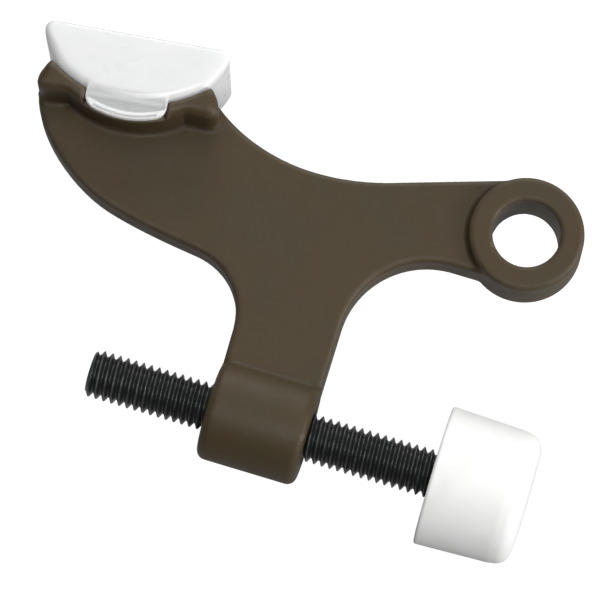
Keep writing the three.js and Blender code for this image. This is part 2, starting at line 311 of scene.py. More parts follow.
def level_surface(shape: Field, lines: Sequence[Array]) -> Surface:
    """Surface on which a field is zero.

    Each grid cell that the surface passes through gets one point, the mean of the zeros on its
    twelve edges. Each grid edge that crosses the surface joins the four cells round it with a
    face that looks to the outside. One Newton step, the field's value times its gradient over
    the gradient's square, then brings every point onto the surface.

    Args:
        shape: the field, negative inside, of three coordinate arrays.
        lines: positions of the grid's planes along X, Y and Z.

    Returns:
        The closed surface.
    """
    grids = np.ix_(*lines)
    size = tuple(len(line) for line in lines)
    value = np.broadcast_to(shape(*grids), size).astype(np.float64)
    inside = value < 0
    cells_in_grid = tuple(count - 1 for count in size)
    corners = [np.array(corner) for corner in np.ndindex(2, 2, 2)]
    filled = np.zeros(cells_in_grid, np.int8)
    for i, j, k in corners:
        filled += inside[i:i + cells_in_grid[0], j:j + cells_in_grid[1], k:k + cells_in_grid[2]]
    cells = np.argwhere((filled > 0) & (filled < 8))
    number = np.full(cells_in_grid, -1, np.int64)
    number[tuple(cells.T)] = np.arange(len(cells))
    total, hits = np.zeros((len(cells), 3)), np.zeros(len(cells))
    for axis in range(3):
        step = np.eye(3, dtype=int)[axis]
        for corner in (c for c in corners if c[axis] == 0):
            near, far = cells + corner, cells + corner + step
            at_near, at_far = value[tuple(near.T)], value[tuple(far.T)]
            crosses = (at_near < 0) != (at_far < 0)
            share = at_near / np.where(crosses, at_near - at_far, 1)
            place = corner + share[:, None] * step
            total += np.where(crosses[:, None], place, 0)
            hits += crosses
    inner = total / hits[:, None]
    points = np.empty_like(inner)
    for axis, line in enumerate(lines):
        start = line[cells[:, axis]]
        points[:, axis] = start + inner[:, axis] * (line[cells[:, axis] + 1] - start)
    return Surface(onto_surface(shape, points), cell_quads(inside, number))


def cell_quads(inside: Array, number: Array) -> Array:
    """Faces between the cells of a grid, one for each inner grid edge with one end inside.

    Args:
        inside: whether each grid point is inside.
        number: each cell's point number.

    Returns:
        Four point numbers to a face, turned so that the face looks from inside to outside.
    """
    faces = []
    for axis in range(3):
        step, side, up = (np.roll(np.eye(3, dtype=int), shift, axis=1)[axis] for shift in (0, 1, 2))
        low = np.take(inside, range(inside.shape[axis] - 1), axis)
        high = np.take(inside, range(1, inside.shape[axis]), axis)
        edges = np.argwhere(low != high)
        room = np.array(number.shape) + step
        held = ((edges > 0) & (edges < room - 1)) | (step == 1)
        edges = edges[held.all(axis=1)]
        outward = low[tuple(edges.T)]
        ring = [number[tuple((edges - shift).T)] for shift in (0 * side, side, side + up, up)]
        quad = np.stack(ring, axis=1)
        faces.append(np.where(outward[:, None], quad, quad[:, ::-1]))
    return np.vstack(faces)


def onto_surface(shape: Field, points: Array) -> Array:
    """Points moved by one Newton step towards the field's zero, by central differences.

    Args:
        shape: the field.
        points: points near its zero.

    Returns:
        The moved points.
    """
    value = shape(*points.T)
    slope = np.empty_like(points)
    for axis in range(3):
        shift = PROBE * np.eye(3)[axis]
        slope[:, axis] = (shape(*(points + shift).T) - shape(*(points - shift).T)) / (2 * PROBE)
    steepness = np.maximum((slope**2).sum(axis=1), LEAST_STEEPNESS)
    travel = np.clip(value / steepness, -MOST_TRAVEL, MOST_TRAVEL)
    return points - travel[:, None] * slope


def turned_surface(stations: Array, radii: Array, axis_y: float) -> Surface:
    """Closed surface turned about an axis along X: x is the station, y and z lie on its circle.

    Args:
        stations: x of each ring, from the first pole to the last.
        radii: radius of each ring, one column for each angle, or one column for all of them.
        axis_y: y of the axis.

    Returns:
        The surface, with a pole at each end.
    """
    rings, around = radii.shape
    angle = TURN * np.arange(around) / around
    grid = np.stack(np.broadcast_arrays(
        stations[:, None], axis_y + radii * np.cos(angle), radii * np.sin(angle),
    ), axis=-1).reshape(-1, 3)
    poles = np.array([[stations[0], axis_y, 0], [stations[-1], axis_y, 0]])
    index = np.arange(rings * around).reshape(rings, around)
    ahead = np.roll(index, -1, axis=1)
    quads = np.stack((index[:-1], ahead[:-1], ahead[1:], index[1:]), axis=-1).reshape(-1, 4)
    first, last = rings * around, rings * around + 1
    start_fan = np.column_stack((np.full(around, first), ahead[0], index[0]))
    end_fan = np.column_stack((np.full(around, last), index[-1], ahead[-1]))
    return Surface(np.vstack((grid, poles)), quads, np.vstack((start_fan, end_fan))).facing_out()


# ---------------------------------------------------------------- the saddle's axes


@dataclass(frozen=True)
class SaddleFrame:
    """The saddle's own axes, along its chord and off its plate, and the dish that the pad lies in."""

    x: float = -51.55
    y: float = 0.17
    turn: float = math.radians(6.5)
    dish_low: float = 0.4
    dish_radius: float = 15.5

    def dish_centre(self) -> float:
        """Returns how far off the plate the dish has its centre of curvature."""
        return self.dish_low + self.dish_radius

    def local(self, x: Array, y: Array) -> tuple[Array, Array]:
        """The part's x and y turned into the saddle's axes.

        Args:
            x: x of the points.
            y: y of the points.

        Returns:
            Distances along the chord and off the plate.
        """
        right, up = x - self.x, y - self.y
        cos, sin = math.cos(self.turn), math.sin(self.turn)
        return right * cos + up * sin, up * cos - right * sin

    def to_part(self, points: Array) -> Array:
        """The saddle's axes turned back into the part's.

        Args:
            points: distances along the chord, off the plate and along Z, one row for each point.

        Returns:
            The points' x, y and z.
        """
        cos, sin = math.cos(self.turn), math.sin(self.turn)
        along, off, height = points.T
        x = self.x + along * cos - off * sin
        y = self.y + along * sin + off * cos
        return np.column_stack((x, y, height))


# ---------------------------------------------------------------- finishes


def in_metres(band: Pair) -> Pair:
    """A stretch given in millimetres, in metres."""
    return band[0] * MM, band[1] * MM


@dataclass(frozen=True)
class Grain:
    """A cloudy noise: size of its grains in millimetres, octaves, and weight of each further octave."""

    size_mm: float
    octaves: float = 3
    weight: float = 0.5


class Recipe:
    """A material being written, with one Principled shader and patterns on Object coordinates."""

    def __init__(self, name: str) -> None:
        """Starts an empty material.

        Args:
            name: the material's name.
        """
        self.material = bpy.data.materials.new(name)
        self.material.use_nodes = True
        self.tree = self.material.node_tree
        self.shader = self.tree.nodes["Principled BSDF"]
        self.place = self.tree.nodes.new("ShaderNodeTexCoord").outputs["Object"]

    def _fill(self, node: bpy.types.Node, **inputs: object) -> bpy.types.Node:
        """Fills a node's inputs, by link or by value.

        Args:
            node: the node.
            inputs: input name, with underscores for spaces, and its value or socket.

        Returns:
            The same node.
        """
        for name, value in inputs.items():
            socket = node.inputs[name.replace("_", " ")]
            if isinstance(value, bpy.types.NodeSocket):
                self.tree.links.new(value, socket)
            else:
                socket.default_value = value
        return node

    def _node(self, kind: str, **inputs: object) -> bpy.types.Node:
        """Adds a node of a type and fills its inputs."""
        return self._fill(self.tree.nodes.new(kind), **inputs)

    def noise(self, grain: Grain) -> Socket:
        """Cloudy noise on the object's own coordinates.

        Args:
            grain: its sizes.

        Returns:
            The noise's value socket.
        """
        scale = 1 / (grain.size_mm * MM)
        node = self._node("ShaderNodeTexNoise", Vector=self.place, Scale=scale,
                          Detail=grain.octaves, Roughness=grain.weight)
        return node.outputs["Fac"]

    def between(self, value: Socket, band: Pair, result: Pair = (0, 1)) -> Socket:
        """Maps a band of values smoothly onto another.

        Args:
            value: the socket to map.
            band: the two values that become the ends of the result. What lies past them is cut off.
            result: the ends of the result.

        Returns:
            The mapped socket.
        """
        node = self._node("ShaderNodeMapRange", Value=value, From_Min=band[0], From_Max=band[1],
                          To_Min=result[0], To_Max=result[1])
        node.interpolation_type = "SMOOTHSTEP"
        return node.outputs["Result"]

    def math(self, operation: str, first: Socket, second: Socket | float = 0.0) -> Socket:
        """One step of arithmetic.

        Args:
            operation: the Math node's operation.
            first: first value.
            second: second value, where the operation has one.

        Returns:
            The result's socket.
        """
        node = self.tree.nodes.new("ShaderNodeMath")
        node.operation = operation
        self.tree.links.new(first, node.inputs[0])
        if isinstance(second, bpy.types.NodeSocket):
            self.tree.links.new(second, node.inputs[1])
        else:
            node.inputs[1].default_value = second
        return node.outputs[0]

    def mix(self, share: Socket, first: Triple | Socket, second: Triple | Socket) -> Socket:
        """A colour between two.

        Args:
            share: 0 for the first, 1 for the second.
            first: a linear colour or a colour socket.
            second: a linear colour or a colour socket.

        Returns:
            The mixed colour's socket.
        """
        node = self.tree.nodes.new("ShaderNodeMix")
        node.data_type = "RGBA"
        self.tree.links.new(share, node.inputs["Factor"])
        for socket, colour in ((node.inputs[6], first), (node.inputs[7], second)):
            if isinstance(colour, bpy.types.NodeSocket):
                self.tree.links.new(colour, socket)
            else:
                socket.default_value = (*colour, 1)
        return node.outputs[2]

    def local(self, centre: Triple, turn: float = 0.0) -> tuple[Socket, Socket, Socket]:
        """Coordinates about a centre, in metres, turned about Z.

        Args:
            centre: the new origin, in millimetres.
            turn: angle of the new X axis, in radians.

        Returns:
            The x, y and z sockets.
        """
        node = self._node("ShaderNodeMapping", Vector=self.place)
        node.vector_type = "TEXTURE"
        node.inputs["Location"].default_value = Vector(centre) * MM
        node.inputs["Rotation"].default_value = (0, 0, turn)
        split = self._node("ShaderNodeSeparateXYZ", Vector=node.outputs[0])
        return split.outputs[0], split.outputs[1], split.outputs[2]

    def bump(self, height: Socket, depth_mm: float, under: Socket | None = None) -> Socket:
        """A bumped normal.

        Args:
            height: pattern, 0 to 1.
            depth_mm: height of a full step, in millimetres.
            under: normal to bump further, if any.

        Returns:
            The normal's socket.
        """
        node = self._node("ShaderNodeBump", Height=height, Distance=depth_mm * MM)
        if under is not None:
            self.tree.links.new(under, node.inputs["Normal"])
        return node.outputs["Normal"]

    def shade(self, **inputs: object) -> bpy.types.Material:
        """Fills the shader's inputs, by link or by value, and returns the finished material."""
        self._fill(self.shader, **inputs)
        return self.material


@dataclass(frozen=True)
class BronzePaint:
    """Satin bronze-brown paint baked onto a die casting."""

    body: Triple = (0.0575, 0.0388, 0.0186)
    cool: Triple = (0.0528, 0.0390, 0.0186)
    # painted highlight, with some wear: the paler colour laid on sharp edges
    highlight_and_wear: Triple = (0.125, 0.103, 0.078)
    # painted shade, with some dirt: the dark colour laid in concave creases
    crease_shade_and_dirt: Triple = (0.026, 0.018, 0.011)
    mottle: Grain = Grain(7.0, 4)
    mottle_band: Pair = (0.35, 0.65)
    edge_band: Pair = (0.512, 0.545)
    edge_highlight_and_wear_share: float = 0.65
    edge_highlight_and_wear_patches: Grain = Grain(2.0, 2)
    least_edge_highlight_and_wear: float = 0.5
    crease_band: Pair = (0.470, 0.495)
    crease_shade_and_dirt_share: float = 0.75
    gloss_patches: Grain = Grain(2.4, 4, 0.6)
    roughness: Pair = (0.50, 0.56)
    peel: Grain = Grain(0.9, 2)
    peel_depth_mm: float = 0.028
    grit: Grain = Grain(0.22, 3, 0.6)
    grit_depth_mm: float = 0.010
    parting_half_mm: float = 0.11
    parting_rise_mm: float = 0.05
    specular: float = 0.24
    refraction: float = 1.5

    def material(self) -> bpy.types.Material:
        """Mottled brown; edges paler with a painted highlight and wear, creases darker with painted
        shade and dirt; orange peel, grit and a parting line.

        Returns:
            The material.
        """
        recipe = Recipe("bronze_paint")
        mottle = recipe.between(recipe.noise(self.mottle), self.mottle_band)
        tone = recipe.mix(mottle, self.body, self.cool)
        sharpness = recipe.tree.nodes.new("ShaderNodeNewGeometry").outputs["Pointiness"]
        # Sharp edges, found by pointiness, are painted paler in patches: a painted highlight along them,
        # with some rubbed wear.
        edge = recipe.between(sharpness, self.edge_band, (0, self.edge_highlight_and_wear_share))
        patches = recipe.between(recipe.noise(self.edge_highlight_and_wear_patches), NOISE_BAND, (self.least_edge_highlight_and_wear, 1))
        highlit_and_worn = recipe.mix(recipe.math("MULTIPLY", edge, patches), tone, self.highlight_and_wear)
        # Concave creases, found by pointiness, are painted darker: painted shade standing in for the
        # shadow in them, with some dirt.
        crease = recipe.between(sharpness, self.crease_band, (self.crease_shade_and_dirt_share, 0))
        colour = recipe.mix(crease, highlit_and_worn, self.crease_shade_and_dirt)
        roughness = recipe.between(recipe.noise(self.gloss_patches), NOISE_BAND, self.roughness)
        _, _, height = recipe.local((0, 0, 0))
        flash = recipe.between(recipe.math("ABSOLUTE", height), (0, self.parting_half_mm * MM), (1, 0))
        peel = recipe.bump(recipe.noise(self.peel), self.peel_depth_mm)
        grit = recipe.bump(recipe.noise(self.grit), self.grit_depth_mm, peel)
        normal = recipe.bump(flash, self.parting_rise_mm, grit)
        return recipe.shade(Base_Color=colour, Roughness=roughness, Normal=normal,
                            Specular_IOR_Level=self.specular, IOR=self.refraction)


@dataclass(frozen=True)
class BlackOxideSteel:
    """Oiled black oxide on a rolled thread, with a painted highlight and rubbed wear making the crests
    paler.
    """

    body: Triple = (0.029, 0.0312, 0.0302)
    # painted crest highlight, with rubbed wear
    crest_highlight_and_wear: Triple = (0.075, 0.079, 0.075)
    axis_y_mm: float = SCREW_AXIS_Y
    crest_highlight_radii_mm: Pair = (2.79, 2.985)
    oil: Grain = Grain(1.1, 4)
    oil_band: Pair = (0.36, 0.66)
    gloss_patches: Grain = Grain(0.8, 4, 0.6)
    roughness: Pair = (0.26, 0.44)
    skin: Grain = Grain(0.12, 3, 0.6)
    skin_depth_mm: float = 0.006
    metallic: float = 0.4

    def material(self) -> bpy.types.Material:
        """Near-black metal, with crests painted paler as highlight and brushed wear, fine grain and
        patchy oil.

        Returns:
            The material.
        """
        recipe = Recipe("black_oxide_steel")
        _, across, height = recipe.local((0, self.axis_y_mm, 0))
        squares = recipe.math("ADD", recipe.math("MULTIPLY", across, across),
                              recipe.math("MULTIPLY", height, height))
        # The thread's outer radii are painted paler: a painted highlight along the crests, with rubbed
        # wear.
        highlight_and_wear = recipe.between(recipe.math("SQRT", squares), in_metres(self.crest_highlight_radii_mm))
        oil = recipe.between(recipe.noise(self.oil), self.oil_band)
        colour = recipe.mix(recipe.math("MULTIPLY", highlight_and_wear, oil), self.body, self.crest_highlight_and_wear)
        roughness = recipe.between(recipe.noise(self.gloss_patches), NOISE_BAND, self.roughness)
        grain = recipe.bump(recipe.noise(self.skin), self.skin_depth_mm)
        return recipe.shade(Base_Color=colour, Roughness=roughness, Metallic=self.metallic, Normal=grain)


@dataclass(frozen=True)
class WhiteRubber:
    """Matt white moulded rubber."""

    body: Triple = (0.86, 0.858, 0.852)
    dusty: Triple = (0.80, 0.797, 0.788)
    axis_y_mm: float = SCREW_AXIS_Y
    cloud: Grain = Grain(5.0, 4)
    cloud_band: Pair = (0.45, 0.8)
    gloss_patches: Grain = Grain(1.2)
    roughness: Pair = (0.46, 0.58)
    seam_half_mm: float = 0.1
    seam_rise_mm: float = 0.04
    seam_wall_mm: Pair = (7.4, 7.9)
    skin: Grain = Grain(0.2, 3, 0.6)
    skin_depth_mm: float = 0.008
    scatter: float = 0.15
    scatter_tint: Triple = (1.0, 0.95, 0.9)
    scatter_mm: float = 1.2
    specular: float = 0.25
    refraction: float = 1.5

    def material(self) -> bpy.types.Material:
        """White with faint clouding, a fine spark-eroded skin and two mould seams.

        Returns:
            The material.
        """
        recipe = Recipe("white_rubber_skin")
        cloud = recipe.between(recipe.noise(self.cloud), self.cloud_band)
        colour = recipe.mix(cloud, self.body, self.dusty)
        roughness = recipe.between(recipe.noise(self.gloss_patches), NOISE_BAND, self.roughness)
        _, across, height = recipe.local((0, self.axis_y_mm, 0))
        seam = recipe.between(recipe.math("ABSOLUTE", height), (0, self.seam_half_mm * MM), (1, 0))
        on_wall = recipe.between(recipe.math("ABSOLUTE", across), in_metres(self.seam_wall_mm))
        seam = recipe.math("MULTIPLY", seam, on_wall)
        skin = recipe.bump(recipe.noise(self.skin), self.skin_depth_mm)
        normal = recipe.bump(seam, self.seam_rise_mm, skin)
        return recipe.shade(Base_Color=colour, Roughness=roughness, Normal=normal,
                            Subsurface_Weight=self.scatter, Subsurface_Radius=self.scatter_tint,
                            Subsurface_Scale=self.scatter_mm * MM, Specular_IOR_Level=self.specular,
                            IOR=self.refraction)


@dataclass(frozen=True)
class MilkyVinyl:
    """Soft clear vinyl gone milky, with shade painted where it is thin over the dark casting."""

    body: Triple = (0.765, 0.768, 0.77)
    cloudy: Triple = (0.745, 0.749, 0.752)
    # painted shade: the dark casting seen through the thin tabs
    see_through_shade: Triple = (0.46, 0.465, 0.47)
    saddle: SaddleFrame = SaddleFrame()
    foot_mm: Pair = (-0.95, -0.75)
    foot_bow_per_mm: float = 0.044
    shade_above_mm: Pair = (0.8, 2.3)
    shade_half_mm: Pair = (4.75, 5.0)
    shade_depth_mm: Pair = (6.6, 7.6)
    cloud: Grain = Grain(4.0, 1)
    gloss_patches: Grain = Grain(3.0, 1)
    roughness: Pair = (0.27, 0.33)
    ripple: Grain = Grain(2.6, 2)
    ripple_depth_mm: float = 0.010
    skin: Grain = Grain(0.5, 1)
    skin_depth_mm: float = 0.0015
    scatter: float = 0.55
    scatter_tint: Triple = (1.0, 1.0, 1.0)
    scatter_mm: float = 2.0
    coat: float = 0.15
    sheen: float = 0.45
    sheen_roughness: float = 0.4
    refraction: float = 1.46

    def tab_shade_share(self, recipe: Recipe) -> Socket:
        """How far a point lies in one of the two thin tabs, where shade is painted: the product of four
        fades.

        They fade in above the tab's bowed foot and towards its outer face, and fade out above
        the tab and past its sides.

        Args:
            recipe: the material being written.

        Returns:
            The share's socket, 1 in the tab's middle.
        """
        along, off, depth = recipe.local((self.saddle.x, self.saddle.y, 0), self.saddle.turn)
        square = recipe.math("MULTIPLY", along, along)
        above = recipe.math("SUBTRACT", off, recipe.math("MULTIPLY", square, self.foot_bow_per_mm / MM))
        high = recipe.between(above, in_metres(self.foot_mm))
        low = recipe.between(off, in_metres(self.shade_above_mm), (1, 0))
        narrow = recipe.between(recipe.math("ABSOLUTE", along), in_metres(self.shade_half_mm), (1, 0))
        outer = recipe.between(recipe.math("ABSOLUTE", depth), in_metres(self.shade_depth_mm))
        sides = recipe.math("MULTIPLY", recipe.math("MULTIPLY", low, narrow), outer)
        return recipe.math("MULTIPLY", sides, high)

    def material(self) -> bpy.types.Material:
        """Milky white, with painted shade grey down the tabs, flow clouds and a glossy moulded skin.

        Returns:
            The material.
        """
        recipe = Recipe("milky_vinyl")
        cloud = recipe.between(recipe.noise(self.cloud), NOISE_BAND)
        # The tabs are painted grey: painted shade where the casting shows through the thin vinyl.
        colour = recipe.mix(self.tab_shade_share(recipe), recipe.mix(cloud, self.body, self.cloudy), self.see_through_shade)
        roughness = recipe.between(recipe.noise(self.gloss_patches), NOISE_BAND, self.roughness)
        ripple = recipe.bump(recipe.noise(self.ripple), self.ripple_depth_mm)
        normal = recipe.bump(recipe.noise(self.skin), self.skin_depth_mm, ripple)
        return recipe.shade(Base_Color=colour, Roughness=roughness, Normal=normal,
                            Subsurface_Weight=self.scatter, Subsurface_Radius=self.scatter_tint,
                            Subsurface_Scale=self.scatter_mm * MM, IOR=self.refraction,
                            Coat_Weight=self.coat, Sheen_Weight=self.sheen,
                            Sheen_Roughness=self.sheen_roughness)


# ---------------------------------------------------------------- pieces


def place_piece(piece: bpy.types.Object, body: Body, stands_for: str,
                material: bpy.types.Material) -> None:
    """Dresses a finished piece and hangs it on the frame.

    Args:
        piece: the piece, already in place.
        body: body that it rides on.
        stands_for: node that it replaces.
        material: its material.
    """
    piece.data.materials.append(material)
    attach(piece, body.value)
    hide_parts(stands_for)
    log.info("%s: %d points, %d faces, rides on %s", piece.name, len(piece.data.vertices),
             len(piece.data.polygons), body.value)


@dataclass
class ArmCasting:
    """Painted die casting: pin ring, neck, pad arm with its saddle, leg and screw barrel."""

    web_half: float = 2.6
    web_edge: float = 0.7
    ring_radius: float = 7.15
    ring_half: float = 4.0
    ring_edge: float = 0.75
    pin_bore: float = 4.2
    pin_lip: float = 0.35  # flare of the bore's rims
    neck_slope: float = math.radians(18)
    neck_back_end: float = -17.0
    neck_underside: float = -6.2
    neck_underside_end: float = -3.2
    crotch_radius: float = 11.0
    leg_left: float = -30.9
    leg_right: float = -18.5
    screw_y: float = SCREW_AXIS_Y
    barrel_left: float = -31.1
    barrel_right: float = -18.45
    barrel_radius: float = 6.3
    barrel_edge: float = 1.15
    screw_bore: float = 3.15
    screw_lip: float = 0.45  # flare of the bore's rims
    saddle_half: float = 8.4
    saddle_top_edge: float = 0.45
    saddle_low_edge: float = 1.35
    saddle_edge_fade: Pair = (0.2, 2.0)  # depth under the dish between top edge and low edge
    under_radius: float = 13.3
    under_low: float = -1.8
    under_end: float = 7.3  # half width of the underside's arc
    horn_x: float = 9.95
    notch_half: float = 5.15
    notch_floor: float = 7.2
    notch_ease: float = 0.3
    ring_fillet: float = 0.55
    barrel_fillet: float = 0.55
    saddle_fillet: float = 0.7
    flush_fillet: float = 0.15  # where two parts share a wall
    fillet_fade: float = 1.0  # depth below the web's face over which fillets grow
    barrel_fillet_fade: float = 2.0  # distance in from the barrel's ends over which its fillet grows
    bore_ease: float = 0.25
    bore_overshoot: float = 2.0  # how far the cutter runs past the barrel
    grid: float = 0.28
    grid_margins: Pair = (3.3, 3.1)  # cells before and after the box
    saddle: SaddleFrame = SaddleFrame()
    finish: BronzePaint = BronzePaint()

    def web_outline(self) -> Array:
        """Outline of the flat web: neck, pad arm and leg.

        Returns:
            Its points, round the web from the pin.
        """
        tangent = math.pi / 2 + self.neck_slope
        tangent_x, tangent_y = self.ring_radius * math.cos(tangent), self.ring_radius * math.sin(tangent)
        back_y = tangent_y + (self.neck_back_end - tangent_x) * math.tan(self.neck_slope)
        crotch = (self.leg_right + self.crotch_radius, self.neck_underside - self.crotch_radius)
        outline = Outline((0, 0)).line(tangent_x, tangent_y).line(self.neck_back_end, back_y)
        outline.curve((-20.4, 0.8), (-24, 0.2), (-27.3, 0.2))
        outline.curve((-32, 0.2), (-37.2, 1.7), (-41, 4.7))
        outline.line(-42, 3.2).curve((-46.5, -1.4), (-57, -2.4), (-61.6, 0.6))
        outline.line(-62.9, -0.2).curve((-62, -4.4), (-56, -9.6), (-50.5, -11.2))
        outline.curve((-46.6, -12.3), (-42.4, -12.9), (-38.5, -13.4))
        outline.curve((-34.6, -13.9), (-31.4, -16.8), (-31.1, -21.5))
        outline.line(self.leg_left, self.screw_y).line(self.leg_right, self.screw_y)
        outline.arc(crotch, self.crotch_radius, math.pi, math.pi / 2)
        return outline.line(self.neck_underside_end, self.neck_underside).points()

    def saddle_outline(self) -> Array:
        """Section of the saddle plate: a shallow dish with a rounded horn at each end.

        Returns:
            Its points in the saddle's own axes.
        """
        dish, dish_radius = self.saddle.dish_centre(), self.saddle.dish_radius
        under = self.under_low + self.under_radius
        dish_angle = math.asin(self.horn_x / dish_radius)
        under_angle = math.asin(self.under_end / self.under_radius)
        down = -math.pi / 2
        horn_y = dish - dish_radius * math.cos(dish_angle)
        outline = Outline((-self.horn_x, horn_y))
        outline.arc((0, dish), dish_radius, down - dish_angle, down + dish_angle)
        outline.curve((10.6, 3.5), (11.3, 2.5), (11.3, 1.4)).curve((11.3, 0.6), (10.6, 0.2), (9.6, 0.3))
        outline.arc((0, under), self.under_radius, down + under_angle, down - under_angle)
        outline.line(-9.6, 0.3).curve((-10.6, 0.2), (-11.3, 0.6), (-11.3, 1.4))
        return outline.curve((-11.3, 2.5), (-10.6, 3.5), (-self.horn_x, horn_y)).points()

    def __post_init__(self) -> None:
        """Works the two outlines out once."""
        self.web = self.web_outline()
        self.plate = self.saddle_outline()

    def shape(self, x: Array, y: Array, z: Array) -> Array:
        """Field of the casting: the union of web, ring, saddle and barrel, less the bores.

        Each is a rounded slab: the web, ring and saddle have their thickness along Z and the
        barrel along X. Joints are filled with a fillet where two faces meet at an angle, and
        left almost flush where the parts share a wall.

        Args:
            x: x of the points.
            y: y of the points.
            z: z of the points.

        Returns:
            The field, negative inside.
        """
        depth = np.abs(z)
        off_wall = smooth_step(self.web_half - self.fillet_fade, self.web_half, depth)
        along, off = self.saddle.local(x, y)
        middle = (self.barrel_left + self.barrel_right) / 2
        half = (self.barrel_right - self.barrel_left) / 2
        from_middle, from_axis = np.abs(x - middle), np.hypot(y - self.screw_y, z)

        web = rounded_slab(outline_distance(x, y, self.web), depth, self.web_half, self.web_edge)
        ring = rounded_slab(np.hypot(x, y) - self.ring_radius, depth, self.ring_half, self.ring_edge)
        dish_depth = np.sqrt(np.maximum(self.saddle.dish_radius**2 - along**2, 1))
        under_rim = self.saddle.dish_centre() - dish_depth - off
        growth = smooth_step(*self.saddle_edge_fade, under_rim)
        edge = self.saddle_top_edge + (self.saddle_low_edge - self.saddle_top_edge) * growth
        plate = rounded_slab(outline_distance(along, off, self.plate), depth, self.saddle_half, edge)
        notch = np.maximum(np.abs(along) - self.notch_half, self.notch_floor - depth)
        plate = blended_cut(plate, notch, self.notch_ease)
        barrel = rounded_slab(from_axis - self.barrel_radius, from_middle, half, self.barrel_edge)

        body = blended_union(web, ring, self.flush_fillet + off_wall * self.ring_fillet)
        body = blended_union(body, plate, self.flush_fillet + off_wall * self.saddle_fillet)
        off_end = smooth_step(0, self.barrel_fillet_fade, half - from_middle)
        body = blended_union(body, barrel, self.flush_fillet + off_end * self.barrel_fillet)

        pin_flare = np.clip(depth - self.ring_half + self.pin_lip, 0, 2 * self.pin_lip)
        body = blended_cut(body, np.hypot(x, y) - self.pin_bore - pin_flare, self.bore_ease)
        screw_flare = np.clip(from_middle - half + self.screw_lip, 0, 2 * self.screw_lip)
        past_end = from_middle - half - self.bore_overshoot
        tunnel = np.maximum(from_axis - self.screw_bore - screw_flare, past_end)
        return blended_cut(body, tunnel, self.bore_ease)

    def build(self) -> bpy.types.Object:
        """Makes the casting, on a grid a few cells wider than its box.

        Returns:
            The casting's object.
        """
        low, high = (np.array(corner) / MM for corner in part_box("arm_casting"))
        before, after = (cells * self.grid for cells in self.grid_margins)
        lines = [
            ruled((start - before, 0), (end + after, self.grid))
            for start, end in zip(low, high)
        ]
        piece = level_surface(self.shape, lines).to_object("painted_arm_casting")
        place_piece(piece, Body.ARM, "arm_casting", self.finish.material())
        return piece


